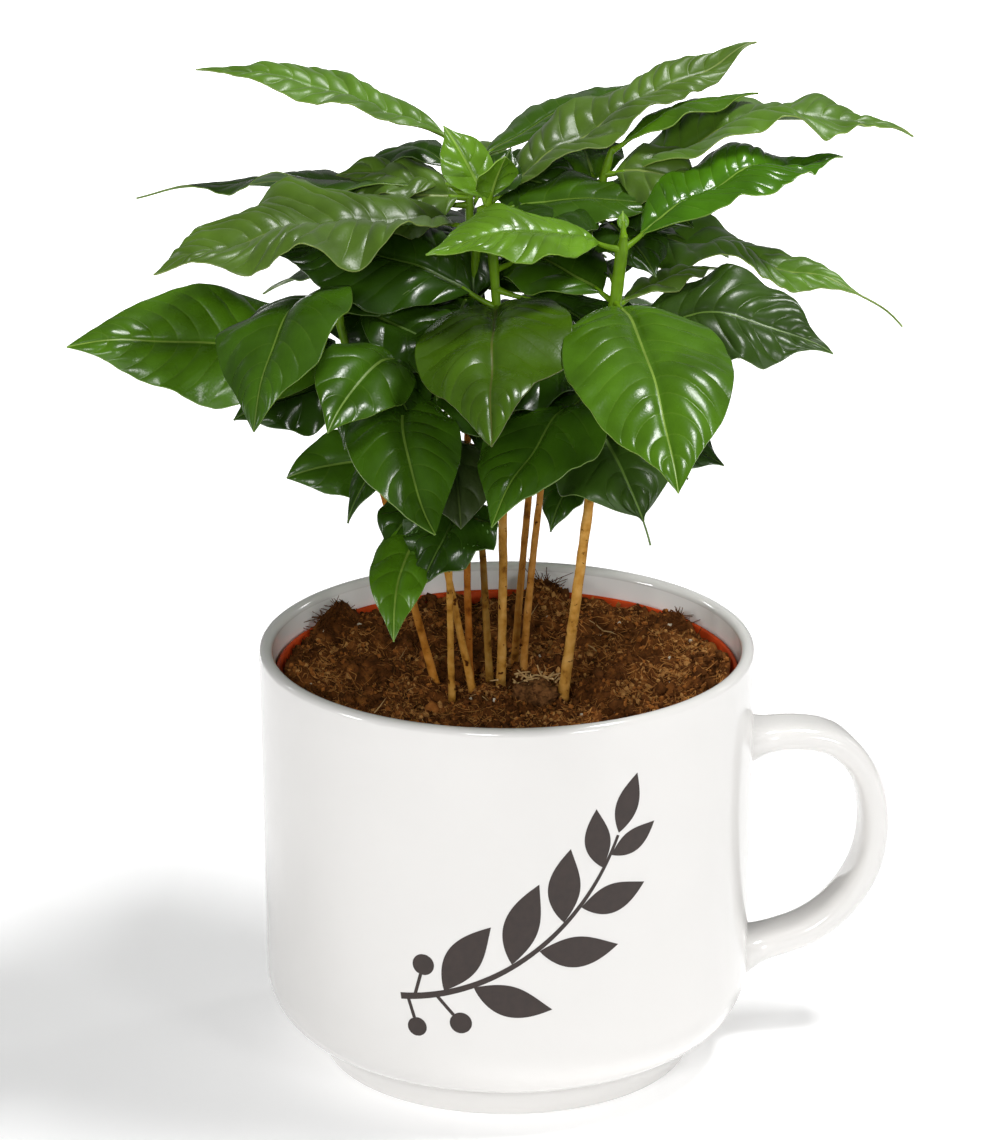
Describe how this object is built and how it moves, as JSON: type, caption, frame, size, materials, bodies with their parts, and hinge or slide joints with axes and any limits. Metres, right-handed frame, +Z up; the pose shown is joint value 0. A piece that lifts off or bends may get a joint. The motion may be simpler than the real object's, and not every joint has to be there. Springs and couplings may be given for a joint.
{
  "type": "potted coffee plant",
  "caption": "Cluster of young coffee plants with glossy drip-tipped leaves on slim woody stems, in a nursery pot that stands in a big white ceramic mug with a strap handle.",
  "frame": {"origin": "centre of the mug's flat underside, on the surface that it stands on", "axes": "+Z up along the mug's axis, +X to the side that the handle is on, +Y away from the front"},
  "size_m": [0.2174, 0.1912, 0.2618],
  "materials": {
    "white_glaze": "smooth white glossy glaze",
    "terracotta_plastic": "thin moulded terracotta-red plastic",
    "soil": "loose dark reddish-brown peat with fibres and white specks",
    "bark": "smooth tan young bark with dark specks",
    "leaf": "glossy deep green leaf, paler and duller underneath"
  },
  "bodies": {
    "root": {"mug": "white_glaze", "nursery_pot": "terracotta_plastic", "soil": "soil", "stem_middle": "bark", "stem_right": "bark", "stem_rear_right": "bark", "stem_rear": "bark", "stem_rear_left": "bark", "stem_left": "bark", "stem_front_left": "bark", "stem_low": "bark", "stem_back": "bark", "leaves_middle": "leaf", "leaves_right": "leaf", "leaves_rear_right": "leaf", "leaves_rear": "leaf", "leaves_rear_left": "leaf", "leaves_left": "leaf", "leaves_front_left": "leaf", "leaves_low": "leaf", "leaves_back": "leaf"}
  },
  "joints": []
}
